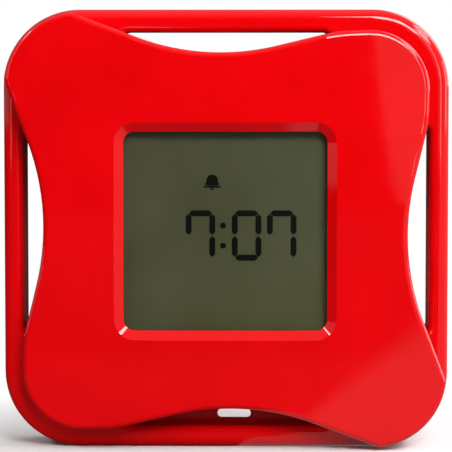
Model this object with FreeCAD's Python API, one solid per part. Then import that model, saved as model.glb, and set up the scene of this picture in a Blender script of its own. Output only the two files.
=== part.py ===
import FreeCAD
import Part
import math
import os

# Square desk alarm clock with a sunken display window, resting on one side of its outer frame.
# Units are millimetres. X runs to the right, Y to the back and Z up.
# The origin is under the middle of the clock, at the surface that it stands on.
# A place on the clock is given as u (right of the middle), v (above the middle) and y (depth).

# Overall size
WIDTH = 95.0
HEIGHT = 93.6
DEPTH = 29.0
CORNER_RADIUS = 16.3
CROWN_RADIUS = 420.0

# Outer frame
FRAME_DEPTH = 13.0
BAR_THICKNESS = 4.7
SIDE_BAR_THICKNESS = 4.1
FRAME_EDGE_RADIUS = 2.4
GAP_EDGE_RADIUS = 1.4
BAR_FLAT_SHARE = 0.9
GAP_HALF_LENGTH = 22.0
GAP_END_RADIUS = 1.2
BARREL_MEET = 12.2
BARREL_INSET = 0.6
BARREL_WALL = 2.0

# Web across the lower gap, and the hanging slot in it
WEB_THICKNESS = 1.6
WEB_SETBACK = 6.6
SLOT_WIDTH = 7.2
SLOT_HEIGHT = 2.0
SLOT_END_RADIUS = 0.85
SLOT_LIFT = 0.7
SLOT_OFFSET = 1.7
RELIEF_DEPTH = 1.6

# Lobed outline of the front and rear covers
WAIST_MEET = 11.4
REAR_WAIST_MEET = 12.8
WAIST_SHIFT = 4.2
WAIST_RADIUS = 50.0
SHOULDER_ALONG = 24.0
SHOULDER_DROP = 4.7
SHOULDER_RADIUS = 25.0
SHORT_ARM_GAP = 4.1
SHORT_ARM_RADIUS = 12.5
LONG_ARM_REACH = 13.1
LONG_ARM_TIP_RADIUS = 1.4
LONG_ARM_INSET = 0.6
COVER_WALL = 2.0
RIM_WALL = 2.4
COVER_EDGE_RADIUS = 1.2

# Window in the front cover
WINDOW_WIDTH = 43.0
WINDOW_HEIGHT = 42.0
WINDOW_RADIUS = 2.4
BEVEL_WIDTH = 1.9
BEVEL_DEPTH = 1.6
SEAT_MARGIN = 3.5
LENS_SETBACK = 1.0

# Display stack behind the window
LENS_THICKNESS = 1.2
LENS_MARGIN = 3.0
LENS_FIT = 0.15
GLASS_WIDTH = 50.0
GLASS_HEIGHT = 50.0
GLASS_THICKNESS = 2.4
GLASS_GAP = 0.3
GUIDE_WIDTH = 45.0
GUIDE_HEIGHT = 42.0
GUIDE_THICKNESS = 2.0
HOLDER_WALL = 1.8
HOLDER_SHELF = 1.2
STRIP_WIDTH = 44.0
STRIP_HEIGHT = 1.8
STRIP_LENGTH = 3.1
STRIP_PLACE = 23.0
FIT = 0.1

# Circuit board and what is soldered to it
BOARD_WIDTH = 64.0
BOARD_HEIGHT = 57.0
BOARD_THICKNESS = 1.6
BOARD_CORNER = 1.5
CHIP_RADIUS = 5.0
CHIP_ROOM_SHARE = 0.56
CHIP_PLACE = (-6.0, -12.0)
CRYSTAL_ROOM_SHARE = 0.8
CRYSTAL_LENGTH = 6.0
CRYSTAL_PLACE = (10.0, -12.0)
TILT_SIZE = 6.0
TILT_HEIGHT = 4.6
TILT_PLACE = (24.0, 10.0)
LED_WIDTH = 3.0
LED_HEIGHT = 1.6
LED_RISE = 0.9
LED_PLACE = 12.0
TACT_SIZE = 5.0
TACT_HEIGHT = 3.4
TACT_PLUNGER_RADIUS = 1.5
TACT_PLUNGER_RISE = 0.6
SLIDER_BODY_WIDTH = 9.0
SLIDER_BODY_HEIGHT = 4.0
SLIDER_BODY_RISE = 3.4

# Screws and the bosses that take them
CASE_BOSS_FROM_SIDE = 14.0
CASE_BOSS_FROM_TOP = 13.3
CASE_BOSS_RADIUS = 3.6
CASE_SCREW_RADIUS = 1.3
CASE_HEAD_RADIUS = 2.4
CASE_HEAD_HEIGHT = 1.6
CASE_SCREW_LENGTH = 10.0
CASE_SEAT = 3.0
BOARD_BOSS_PLACE = (29.4, 15.5)
BOARD_BOSS_RADIUS = 1.9
BOARD_SCREW_RADIUS = 0.9
BOARD_HEAD_RADIUS = 1.7
BOARD_HEAD_HEIGHT = 1.1
BOARD_SCREW_LENGTH = 5.0
HOLE_CLEARANCE = 0.1
HEAD_CLEARANCE = 0.4
DRIVE_WIDTH = 0.6
DRIVE_DEPTH = 0.7
DRIVE_REACH_SHARE = 0.6
HEAD_ROUND_SHARE = 0.33

# Buttons and alarm switch in the rear cover
CONTROL_ROW = 25.0
BUTTON_SPACING = 12.0
BUTTON_ROW_OFFSET = 6.0
BUTTON_RADIUS = 2.9
BUTTON_CLEARANCE = 0.2
BUTTON_RISE = 0.7
BUTTON_TRAVEL = 0.5
BUTTON_FLANGE_RADIUS = 3.7
BUTTON_FLANGE = 0.9
BUTTON_STEM_RADIUS = 1.4
STEM_END_GAP = 0.1
FLANGE_GAP = 0.2
KNOB_PLACE = 20.0
KNOB_WIDTH = 4.4
KNOB_HEIGHT = 2.8
KNOB_RISE = 0.8
KNOB_TRAVEL = 2.0
KNOB_FLANGE_WIDTH = 10.0
KNOB_FLANGE_HEIGHT = 5.0
KNOB_STEM = 2.0
RIDGE_SPACING = 1.25

# Buzzer
BUZZER_PLACE = 10.6
BUZZER_RADIUS = 9.0
BUZZER_THICKNESS = 0.3
CERAMIC_RADIUS = 6.5
CERAMIC_THICKNESS = 0.25
BUZZER_DROP = 1.8
BUZZER_LEDGE = 0.8
BUZZER_RING_WALL = 0.8
BUZZER_RING_LIP = 0.5
SOUND_HOLE_RADIUS = 0.8
SOUND_HOLE_CIRCLE = 4.2
SOUND_HOLE_COUNT = 6

# Batteries, their bay and its contacts
CELL_RADIUS = 5.25
CELL_LENGTH = 44.5
CELL_NUB_RADIUS = 1.9
CELL_NUB_LENGTH = 1.0
CELL_SPACING = 11.6
CELL_DEPTH = 5.6
CELL_EDGE = 0.6
BAY_LENGTH = 52.0
BAY_HEIGHT = 24.4
BAY_MIDDLE = -14.0
BAY_WALL = 1.2
BAY_FLOOR = 1.0
BAY_FLOOR_GAP = 0.15
CONTACT_THICKNESS = 0.4
CONTACT_SIZE = 8.6
CONTACT_TAB = 2.0
SPRING_RADIUS = 2.6
SPRING_WIRE = 0.3
SPRING_TURNS = 4
WIRE_RADIUS = 0.55
WIRE_BEND = 1.6
BUZZER_WIRE_DEPTH = 1.0

# Battery door
DOOR_LEDGE = 1.0
DOOR_SEAT = 11.0
DOOR_CLEARANCE = 0.25
DOOR_SEAT_GAP = 0.1
DOOR_WALL = 1.4
DOOR_HINGE_SETBACK = 1.85
DOOR_HINGE_DEPTH = 12.2
DOOR_ROUND = 1.5
HINGE_PIN_RADIUS = 0.6
HINGE_PIN_LENGTH = 0.9
HINGE_PIN_CLEARANCE = 0.08
HINGE_TROUGH = 0.35
LATCH_WIDTH = 9.0
LATCH_RISE = 1.6
LATCH_GAP = 0.3
GRIP_COUNT = 4
GRIP_SPACING = 1.5
GRIP_WIDTH = 0.6
GRIP_LENGTH = 12.0
GRIP_DEPTH = 0.4

# Values that follow from the sizes above
HALF_WIDTH = WIDTH / 2
HALF_HEIGHT = HEIGHT / 2
HALF_DEPTH = DEPTH / 2
PARTING = FRAME_DEPTH / 2
RIM_HALF = min(WINDOW_WIDTH, WINDOW_HEIGHT) / 2 + BEVEL_WIDTH
RIM_SAG = CROWN_RADIUS - math.sqrt(CROWN_RADIUS * CROWN_RADIUS - RIM_HALF * RIM_HALF)
LENS_FRONT = -HALF_DEPTH + BEVEL_DEPTH + LENS_SETBACK
LENS_BACK = LENS_FRONT + LENS_THICKNESS
GLASS_FRONT = LENS_BACK + GLASS_GAP
GLASS_BACK = GLASS_FRONT + GLASS_THICKNESS
GUIDE_BACK = GLASS_BACK + GUIDE_THICKNESS
BOARD_FRONT = GLASS_BACK + STRIP_LENGTH
BOARD_BACK = BOARD_FRONT + BOARD_THICKNESS
TACT_TOP = BOARD_BACK + TACT_HEIGHT + TACT_PLUNGER_RISE
BAY_BOTTOM = CELL_DEPTH - CELL_RADIUS - BAY_FLOOR_GAP
BOARD_ROOM = BAY_BOTTOM - BAY_FLOOR - BOARD_BACK
CHIP_HEIGHT = BOARD_ROOM * CHIP_ROOM_SHARE
CRYSTAL_RADIUS = BOARD_ROOM * CRYSTAL_ROOM_SHARE / 2
OVERCUT = 1.0
TURN = 360.0


def at(u, y, v):
    """Point at u right of, v above and y behind the middle of the clock."""
    return FreeCAD.Vector(u, y, v + HALF_HEIGHT)


def rounded_wire(corners, place):
    """Closed wire through corners (a, b, radius), each rounded by its radius or by what its sides allow."""
    count = len(corners)
    points = [FreeCAD.Vector(a, b, 0) for a, b, radius in corners]
    runs = [(points[(index + 1) % count] - points[index]) for index in range(count)]
    half_angles = [runs[index].getAngle(-runs[index - 1]) / 2 for index in range(count)]
    reaches = [corners[index][2] / math.tan(half_angles[index]) for index in range(count)]
    shares = [runs[index].Length / max(reaches[index] + reaches[(index + 1) % count], 1e-6)
              for index in range(count)]
    ends = []
    for index in range(count):
        here = points[index]
        back = -runs[index - 1] / runs[index - 1].Length
        ahead = runs[index] / runs[index].Length
        share = min(1.0, shares[index - 1], shares[index])
        radius = corners[index][2] * share
        if radius == 0:
            ends.append((here, None, here))
            continue
        reach = reaches[index] * share
        middle = (back + ahead).normalize()
        crest = here + middle * (radius / math.sin(half_angles[index]) - radius)
        ends.append((here + back * reach, crest, here + ahead * reach))
    edges = []
    for index in range(count):
        start, crest, stop = ends[index]
        following = ends[(index + 1) % count][0]
        if crest is not None:
            edges.append(Part.Arc(place(start), place(crest), place(stop)).toShape())
        if (following - stop).Length > 1e-6:
            edges.append(Part.LineSegment(place(stop), place(following)).toShape())
    return Part.Wire(edges)


def prism(corners, y_from, y_to):
    """Solid with a rounded outline in u and v, from one depth to another."""
    wire = rounded_wire(corners, lambda p: at(p.x, y_from, p.y))
    return Part.Face(wire).extrude(FreeCAD.Vector(0, y_to - y_from, 0))


def rectangle(half_width, half_height, radius, u=0.0, v=0.0):
    """Corners of a rectangle about u and v with one radius at its corners."""
    return [
        (u - half_width, v + half_height, radius),
        (u + half_width, v + half_height, radius),
        (u + half_width, v - half_height, radius),
        (u - half_width, v - half_height, radius),
    ]


def slab(u_from, u_to, y_from, y_to, v_from, v_to):
    """Plain block between two values of u, y and v."""
    size = (u_to - u_from, y_to - y_from, v_to - v_from)
    return Part.makeBox(size[0], size[1], size[2], at(u_from, y_from, v_from))


def rod(u, v, y_from, y_to, radius):
    """Round bar along the depth."""
    return Part.makeCylinder(radius, y_to - y_from, at(u, y_from, v), FreeCAD.Vector(0, 1, 0))


def cross_rod(u_from, u_to, y, v, radius):
    """Round bar along the width."""
    return Part.makeCylinder(radius, u_to - u_from, at(u_from, y, v), FreeCAD.Vector(1, 0, 0))


def crown(side, sunk):
    """Ball whose near face is the crowned face of a cover, sunk below it by an amount."""
    lead = RIM_SAG if side < 0 else 0
    middle = at(0, side * (HALF_DEPTH + lead - CROWN_RADIUS), 0)
    return Part.makeSphere(CROWN_RADIUS - sunk, middle)


def crown_depth(u, v, sunk):
    """Depth of the rear cover's crowned face at a place."""
    radius = CROWN_RADIUS - sunk
    return HALF_DEPTH - CROWN_RADIUS + math.sqrt(radius * radius - u * u - v * v)


def cut_all(body, tools):
    """Body with a list of tools taken away."""
    return body.cut(Part.makeCompound(tools))


def one(shape):
    """The shape as a clean single solid."""
    clean = shape.removeSplitter()
    return clean.Solids[0] if len(clean.Solids) == 1 else clean


def save(shape, name):
    """Write one sub-part."""
    one(shape).exportStep("parts/" + name + ".step")


def cover_corners(meet, mirror):
    """Lobed outline: two long arms on one diagonal and two short arms on the other."""
    a = HALF_WIDTH
    b = HALF_HEIGHT
    half = [
        (-WAIST_SHIFT, b - meet, WAIST_RADIUS),
        (a - SHOULDER_ALONG, b - SHOULDER_DROP, SHOULDER_RADIUS),
        (a - SHORT_ARM_GAP, b - SHORT_ARM_GAP, SHORT_ARM_RADIUS),
        (a - SHOULDER_DROP, b - SHOULDER_ALONG, SHOULDER_RADIUS),
        (a - meet, -WAIST_SHIFT, WAIST_RADIUS),
        (a, LONG_ARM_REACH - b, 0),
        (a, -b, 0),
        (a - LONG_ARM_REACH, -b, 0),
    ]
    whole = half + [(-u, -v, radius) for u, v, radius in half]
    return [(mirror * u, v, radius) for u, v, radius in whole]


def barrel_corners():
    """Outline of the middle body between the four gaps."""
    a = HALF_WIDTH
    b = HALF_HEIGHT
    drop = SHOULDER_DROP + BARREL_INSET
    gap = SHORT_ARM_GAP + BARREL_INSET
    radius = SHORT_ARM_RADIUS - BARREL_INSET
    half = [
        (0, b - BARREL_MEET, WAIST_RADIUS),
        (a - SHOULDER_ALONG, b - drop, SHOULDER_RADIUS),
        (a - gap, b - gap, radius),
        (a - drop, b - SHOULDER_ALONG, SHOULDER_RADIUS),
        (a - BARREL_MEET, 0, WAIST_RADIUS),
        (a - drop, SHOULDER_ALONG - b, SHOULDER_RADIUS),
        (a - gap, gap - b, radius),
        (a - SHOULDER_ALONG, drop - b, SHOULDER_RADIUS),
    ]
    return half + [(-u, -v, radius) for u, v, radius in half]


def inset_corners(corners, inset):
    """Corners of the outline that lies an even distance inside the given one."""
    count = len(corners)
    area = sum(corners[i - 1][0] * corners[i][1] - corners[i][0] * corners[i - 1][1] for i in range(count))
    side = math.copysign(1.0, area)
    moved = []
    for index in range(count):
        a, b, radius = corners[index]
        after = corners[(index + 1) % count]
        come = FreeCAD.Vector(a - corners[index - 1][0], b - corners[index - 1][1], 0).normalize()
        go = FreeCAD.Vector(after[0] - a, after[1] - b, 0).normalize()
        inward = FreeCAD.Vector(-come.y - go.y, come.x + go.x, 0) * side
        step = inward * (inset / (1 + come.dot(go)))
        bulges = (come.x * go.y - come.y * go.x) * side > 0
        inner_radius = max(radius - inset, 0) if bulges else radius + inset
        moved.append((a + step.x, b + step.y, inner_radius))
    return moved


def cover_plan(side, meet, inset, y_from, y_to):
    """Solid with the lobed outline, its long arms rounded like the corners of the frame."""
    lobes = inset_corners(cover_corners(meet, -side), inset)
    reach = LONG_ARM_INSET + inset
    bounds = rectangle(HALF_WIDTH - reach, HALF_HEIGHT - reach, CORNER_RADIUS - reach)
    return prism(lobes, y_from, y_to).common(prism(bounds, y_from, y_to))


def sharp_depth_edges(shape):
    """Straight edges along the depth where two faces meet at an angle."""
    found = []
    for edge in shape.Edges:
        start = edge.Vertexes[0].Point
        along = edge.Vertexes[-1].Point - start
        if abs(along.x) + abs(along.z) > 1e-6 or along.Length < 1e-6:
            continue
        faces = shape.ancestorsOfType(edge, Part.Face)
        normals = [face.normalAt(*face.Surface.parameter(start)) for face in faces]
        if normals[0].getAngle(normals[1]) > 0.1:
            found.append(edge)
    return found


def boss_places():
    """The four places of the case screws, one in each arm."""
    u = HALF_WIDTH - CASE_BOSS_FROM_SIDE
    v = HALF_HEIGHT - CASE_BOSS_FROM_TOP
    return [(su * u, sv * v) for su in (-1, 1) for sv in (-1, 1)]


def board_boss_places():
    """The four places of the board screws."""
    u, v = BOARD_BOSS_PLACE
    return [(su * u, sv * v) for su in (-1, 1) for sv in (-1, 1)]


def cover_blank(side, meet):
    """Crowned and lobed block of a cover, open to its parting plane."""
    block = cover_plan(side, meet, 0, side * PARTING, side * (HALF_DEPTH + OVERCUT))
    block = block.makeFillet(LONG_ARM_TIP_RADIUS, sharp_depth_edges(block)).common(crown(side, 0))
    face_edges = []
    for face in block.Faces:
        if isinstance(face.Surface, Part.Sphere):
            face_edges.extend(face.Edges)
    return block.makeFillet(COVER_EDGE_RADIUS, face_edges)


def cover_hollow(side, meet):
    """Space inside a cover."""
    plan = cover_plan(side, meet, RIM_WALL, side * (PARTING - OVERCUT), side * HALF_DEPTH)
    return plan.common(crown(side, COVER_WALL))


def front_cover():
    """Front cover with the sunken window, the lens seat and the screw bosses."""
    blank = cover_blank(-1, WAIST_MEET)
    body = blank.cut(cover_hollow(-1, WAIST_MEET))
    seat_half_width = WINDOW_WIDTH / 2 + SEAT_MARGIN
    seat_half_height = WINDOW_HEIGHT / 2 + SEAT_MARGIN
    seat_corners = rectangle(seat_half_width, seat_half_height, WINDOW_RADIUS)
    front_end = -HALF_DEPTH - OVERCUT
    ribs = [prism(seat_corners, front_end, LENS_FRONT)]
    for u, v in boss_places():
        ribs.append(rod(u, v, front_end, 0, CASE_BOSS_RADIUS))
    for u, v in board_boss_places():
        ribs.append(rod(u, v, front_end, BOARD_FRONT, BOARD_BOSS_RADIUS))
    ribs = [rib.common(crown(-1, COVER_WALL / 2)) for rib in ribs]
    body = body.fuse(ribs)
    tools = [window_bevel(), lens_plate(LENS_FIT, LENS_FRONT, 0)]
    case_hole_end = CASE_SEAT - CASE_SCREW_LENGTH - OVERCUT
    case_hole_radius = CASE_SCREW_RADIUS + HOLE_CLEARANCE
    for u, v in boss_places():
        tools.append(rod(u, v, case_hole_end, OVERCUT, case_hole_radius))
    board_hole_end = BOARD_BACK - BOARD_SCREW_LENGTH - OVERCUT / 2
    board_hole_radius = BOARD_SCREW_RADIUS + HOLE_CLEARANCE
    for u, v in board_boss_places():
        tools.append(rod(u, v, board_hole_end, OVERCUT, board_hole_radius))
    return cut_all(body, tools)


def window_bevel():
    """Opening of the window with an even bevel where it meets the crowned face."""
    outline = rectangle(WINDOW_WIDTH / 2, WINDOW_HEIGHT / 2, WINDOW_RADIUS)
    opening = prism(outline, -HALF_DEPTH - OVERCUT, 0)
    margin = 2 * BEVEL_WIDTH
    around = rectangle(WINDOW_WIDTH / 2 + margin, WINDOW_HEIGHT / 2 + margin, WINDOW_RADIUS)
    plate = prism(around, -HALF_DEPTH - OVERCUT, LENS_FRONT).common(crown(-1, 0))
    pierced = plate.cut(opening)
    rim = []
    for face in pierced.Faces:
        if isinstance(face.Surface, Part.Sphere):
            rim.extend(face.Wires[-1].Edges if face.OuterWire.isSame(face.Wires[0]) else face.Wires[0].Edges)
    bevelled = pierced.makeChamfer(BEVEL_WIDTH, BEVEL_DEPTH, rim)
    return opening.fuse(pierced.cut(bevelled))


def frame_blank():
    """Rounded square block with its outer edges rounded."""
    corners = rectangle(HALF_WIDTH, HALF_HEIGHT, CORNER_RADIUS)
    block = prism(corners, -PARTING, PARTING)
    edges = [e for e in block.Edges if abs(e.Vertexes[0].Y - e.Vertexes[-1].Y) < 1e-6]
    return block.makeFillet(FRAME_EDGE_RADIUS, edges)


def gap_cutter(turn_index):
    """Cutter for the gap beside one bar: top, right, bottom and left in turn."""
    along = HALF_HEIGHT if turn_index % 2 == 0 else HALF_WIDTH
    far = along - (BAR_THICKNESS if turn_index % 2 == 0 else SIDE_BAR_THICKNESS)
    near = along - BARREL_MEET - BARREL_WALL
    middle = (far + near) / 2
    half = (far - near) / 2
    if turn_index % 2 == 0:
        sign = 1 - turn_index
        corners = rectangle(GAP_HALF_LENGTH, half, GAP_END_RADIUS, 0, sign * middle)
    else:
        sign = 2 - turn_index
        corners = rectangle(half, GAP_HALF_LENGTH, GAP_END_RADIUS, sign * middle, 0)
    return prism(corners, -PARTING - OVERCUT, PARTING + OVERCUT)


def gap_rims(ring):
    """Edges around the four gaps on both faces of the frame."""
    rims = []
    for face in ring.Faces:
        if len(face.Wires) > 1:
            for wire in face.Wires:
                if not wire.isSame(face.OuterWire):
                    rims.extend(wire.Edges)
    return rims


def corner_pads():
    """Corners under the long arms, carried out to the full outline."""
    pads = []
    inside = CORNER_RADIUS + LONG_ARM_REACH
    for side, meet in ((-1, WAIST_MEET), (1, REAR_WAIST_MEET)):
        plan = cover_plan(side, meet, 0, side * PARTING, side * (PARTING - FRAME_EDGE_RADIUS))
        plan = plan.makeFillet(LONG_ARM_TIP_RADIUS, sharp_depth_edges(plan))
        for end in (-1, 1):
            u_far = end * side * HALF_WIDTH
            v_far = end * HALF_HEIGHT
            u_near = u_far - end * side * inside
            v_near = v_far - end * inside
            block = slab(min(u_near, u_far), max(u_near, u_far), -PARTING, PARTING,
                         min(v_near, v_far), max(v_near, v_far))
            pads.append(plan.common(block))
    return pads


def outer_frame():
    """Outer frame: four bars, solid corners and the barrel that holds the works."""
    ring = cut_all(frame_blank(), [gap_cutter(index) for index in range(4)])
    bar_flat = min(BAR_THICKNESS, SIDE_BAR_THICKNESS) - FRAME_EDGE_RADIUS
    ring = ring.makeFillet(min(GAP_EDGE_RADIUS, bar_flat * BAR_FLAT_SHARE), gap_rims(ring))
    barrel = prism(barrel_corners(), -PARTING, PARTING)
    body = ring.fuse([barrel] + corner_pads())
    web_front = -PARTING + WEB_SETBACK
    web_floor = BAR_THICKNESS / 2 - HALF_HEIGHT
    web_top = BARREL_MEET - HALF_HEIGHT
    web_back = web_front + WEB_THICKNESS
    web = slab(-GAP_HALF_LENGTH, GAP_HALF_LENGTH, web_front, web_back, web_floor, web_top)
    body = body.fuse(web)
    hollow = prism(inset_corners(barrel_corners(), BARREL_WALL), -PARTING - OVERCUT, PARTING + OVERCUT)
    bar_top = BAR_THICKNESS - HALF_HEIGHT
    slot_middle = bar_top + SLOT_LIFT + SLOT_HEIGHT / 2
    slot_corners = rectangle(
        SLOT_WIDTH / 2, SLOT_HEIGHT / 2, SLOT_END_RADIUS, SLOT_OFFSET, slot_middle)
    slot = prism(slot_corners, web_front - OVERCUT, web_back + OVERCUT)
    relief_half = SLOT_WIDTH / 2 + OVERCUT
    relief = slab(SLOT_OFFSET - relief_half, SLOT_OFFSET + relief_half,
                  web_back, PARTING + OVERCUT, bar_top - RELIEF_DEPTH, bar_top + OVERCUT)
    return cut_all(body, [hollow, slot, relief])


def bay_box(grow, y_from, y_to):
    """Block of the battery bay grown by an amount on its four sides."""
    half_length = BAY_LENGTH / 2 + grow
    half_height = BAY_HEIGHT / 2 + grow
    low = BAY_MIDDLE - half_height
    return slab(-half_length, half_length, y_from, y_to, low, low + 2 * half_height)


def hinge_v():
    """Height of the battery door's hinge line from the middle."""
    return BAY_MIDDLE - BAY_HEIGHT / 2 - DOOR_LEDGE + DOOR_HINGE_SETBACK


def button_places():
    """Places of the three buttons along their row."""
    return [index * BUTTON_SPACING - BUTTON_ROW_OFFSET for index in (-1, 0, 1)]


def rear_cover():
    """Rear cover with the battery bay, the button holes, the buzzer seat and the screw bosses."""
    blank = cover_blank(1, REAR_WAIST_MEET)
    body = blank.cut(cover_hollow(1, REAR_WAIST_MEET))
    skin = crown(1, COVER_WALL / 2)
    bay_outside = bay_box(BAY_WALL + DOOR_LEDGE, DOOR_SEAT - BAY_WALL, HALF_DEPTH)
    bay_outside = bay_outside.fuse(bay_box(BAY_WALL, BAY_BOTTOM - BAY_FLOOR, HALF_DEPTH))
    ledge_radius = BUZZER_RADIUS - BUZZER_LEDGE
    buzzer_depth = crown_depth(0, BUZZER_PLACE, COVER_WALL) - BUZZER_DROP
    ring_radius = BUZZER_RADIUS + HOLE_CLEARANCE + BUZZER_RING_WALL
    ring_end = buzzer_depth - BUZZER_THICKNESS - BUZZER_RING_LIP
    ribs = [bay_outside, rod(0, BUZZER_PLACE, ring_end, HALF_DEPTH, ring_radius)]
    for u, v in boss_places():
        ribs.append(rod(u, v, 0, HALF_DEPTH, CASE_BOSS_RADIUS))
    body = body.fuse([rib.common(skin) for rib in ribs])
    tools = [bay_box(0, BAY_BOTTOM, HALF_DEPTH)]
    tools.append(bay_box(DOOR_LEDGE, DOOR_SEAT, HALF_DEPTH + OVERCUT))
    tools.append(hinge_trough())
    tools.append(latch_notch())
    seat_radius = BUZZER_RADIUS + HOLE_CLEARANCE
    tools.append(rod(0, BUZZER_PLACE, ring_end - OVERCUT, buzzer_depth, seat_radius))
    chamber = rod(0, BUZZER_PLACE, ring_end - OVERCUT, HALF_DEPTH, ledge_radius)
    tools.append(chamber.common(crown(1, COVER_WALL)))
    tools.extend(sound_holes())
    button_hole = BUTTON_RADIUS + BUTTON_CLEARANCE
    for u in button_places():
        tools.append(rod(u, CONTROL_ROW, 0, HALF_DEPTH + OVERCUT, button_hole))
    tools.append(knob_slot())
    for u, v in boss_places():
        tools.append(rod(u, v, -OVERCUT, HALF_DEPTH, CASE_SCREW_RADIUS + HOLE_CLEARANCE * 2))
        tools.append(rod(u, v, CASE_SEAT, HALF_DEPTH, CASE_HEAD_RADIUS + HEAD_CLEARANCE))
    tools.extend(contact_passages())
    return cut_all(body, tools)


def hinge_trough():
    """Room for the rounded hinge edge of the battery door, and the holes for its pins."""
    half = BAY_LENGTH / 2 + DOOR_LEDGE
    radius = DOOR_ROUND + HINGE_TROUGH
    trough = cross_rod(-half, half, DOOR_HINGE_DEPTH, hinge_v(), radius)
    reach = half + HINGE_PIN_LENGTH
    pin_radius = HINGE_PIN_RADIUS + HINGE_PIN_CLEARANCE
    return trough.fuse(cross_rod(-reach, reach, DOOR_HINGE_DEPTH, hinge_v(), pin_radius))


def latch_notch():
    """Notch in the rear cover above the door for its latch tongue."""
    top = BAY_MIDDLE + BAY_HEIGHT / 2 + DOOR_LEDGE
    half = LATCH_WIDTH / 2 + LATCH_GAP
    return slab(-half, half, DOOR_SEAT, HALF_DEPTH + OVERCUT, top - OVERCUT, top + LATCH_RISE)


def sound_holes():
    """Ring of holes with one in its middle, in front of the buzzer."""
    places = [(0.0, BUZZER_PLACE)]
    for index in range(SOUND_HOLE_COUNT):
        angle = math.radians(TURN * index / SOUND_HOLE_COUNT)
        u = SOUND_HOLE_CIRCLE * math.cos(angle)
        places.append((u, BUZZER_PLACE + SOUND_HOLE_CIRCLE * math.sin(angle)))
    start = crown_depth(0, BUZZER_PLACE, COVER_WALL) - OVERCUT
    return [rod(u, v, start, HALF_DEPTH + OVERCUT, SOUND_HOLE_RADIUS) for u, v in places]


def knob_slot():
    """Slot in the rear cover that the switch knob slides in."""
    half_width = (KNOB_WIDTH + KNOB_TRAVEL) / 2 + BUTTON_CLEARANCE
    half_height = KNOB_HEIGHT / 2 + BUTTON_CLEARANCE
    middle = KNOB_PLACE + KNOB_TRAVEL / 2
    corners = rectangle(half_width, half_height, BUTTON_CLEARANCE, middle, CONTROL_ROW)
    return prism(corners, 0, HALF_DEPTH + OVERCUT)


def cell_rows():
    """Heights of the two batteries, each with the side that its positive end faces."""
    half = CELL_SPACING / 2
    return [(BAY_MIDDLE + half, -1), (BAY_MIDDLE - half, 1)]


def contact_passages():
    """Slots through the end wall of the bay for the two soldering tabs."""
    outside = -BAY_LENGTH / 2 - BAY_WALL - OVERCUT
    half = CONTACT_TAB / 2 + FIT
    y_from = CELL_DEPTH - CONTACT_THICKNESS / 2 - FIT
    passages = []
    for v, _ in cell_rows():
        passages.append(slab(outside, -BAY_LENGTH / 2 + OVERCUT / 2, y_from,
                             y_from + CONTACT_THICKNESS + 2 * FIT, v - half, v + half))
    return passages


def battery_door():
    """Door over the battery bay, rounded and pinned at its lower edge."""
    half_width = BAY_LENGTH / 2 + DOOR_LEDGE - DOOR_CLEARANCE
    top = BAY_MIDDLE + BAY_HEIGHT / 2 + DOOR_LEDGE - DOOR_CLEARANCE
    inside = DOOR_SEAT + DOOR_SEAT_GAP
    plate = slab(-half_width, half_width, inside, HALF_DEPTH, hinge_v(), top).common(crown(1, 0))
    edge = cross_rod(-half_width, half_width, DOOR_HINGE_DEPTH, hinge_v(), DOOR_ROUND)
    low = hinge_v() - DOOR_ROUND
    edge = edge.common(slab(-half_width, half_width, inside, HALF_DEPTH, low, low + 2 * DOOR_ROUND))
    edge = edge.common(crown(1, 0))
    reach = half_width + HINGE_PIN_LENGTH
    pins = cross_rod(-reach, reach, DOOR_HINGE_DEPTH, hinge_v(), HINGE_PIN_RADIUS)
    latch_half = LATCH_WIDTH / 2
    latch_top = top + LATCH_RISE - LATCH_GAP
    latch = slab(-latch_half, latch_half, inside, HALF_DEPTH, top - OVERCUT, latch_top)
    latch = latch.common(crown(1, 0))
    hollow = slab(-half_width + DOOR_WALL, half_width - DOOR_WALL, inside - OVERCUT, HALF_DEPTH,
                  hinge_v() + DOOR_ROUND + DOOR_WALL, top - DOOR_WALL).common(crown(1, DOOR_WALL))
    body = plate.fuse([edge, pins, latch])
    tools = [hollow]
    grip_half = GRIP_LENGTH / 2
    for index in range(GRIP_COUNT):
        low = top - DOOR_WALL - GRIP_SPACING * (index + 1) - GRIP_WIDTH / 2
        groove = slab(-grip_half, grip_half, 0, HALF_DEPTH, low, low + GRIP_WIDTH)
        tools.append(groove.cut(crown(1, GRIP_DEPTH)))
    return cut_all(body, tools)


def lens_plate(grow, y_from, y_to):
    """Plate with the outline of the window pane, grown by an amount."""
    half_width = WINDOW_WIDTH / 2 + LENS_MARGIN + grow
    half_height = WINDOW_HEIGHT / 2 + LENS_MARGIN + grow
    return prism(rectangle(half_width, half_height, WINDOW_RADIUS), y_from, y_to)


def window_lens():
    """Clear pane behind the window."""
    return lens_plate(0, LENS_FRONT, LENS_BACK)


def display_glass():
    """Liquid crystal display panel."""
    corners = rectangle(GLASS_WIDTH / 2, GLASS_HEIGHT / 2, 0)
    return prism(corners, GLASS_FRONT, GLASS_BACK)


def light_guide():
    """Milky plate that spreads the backlight."""
    corners = rectangle(GUIDE_WIDTH / 2, GUIDE_HEIGHT / 2, 0)
    return prism(corners, GLASS_BACK, GUIDE_BACK)


def strip_box(side, grow):
    """Block of one rubber contact strip, grown on its long sides."""
    half = STRIP_WIDTH / 2 + grow
    low = side * STRIP_PLACE - STRIP_HEIGHT / 2 - grow
    return slab(-half, half, GLASS_BACK, BOARD_FRONT, low, low + STRIP_HEIGHT + 2 * grow)


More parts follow.
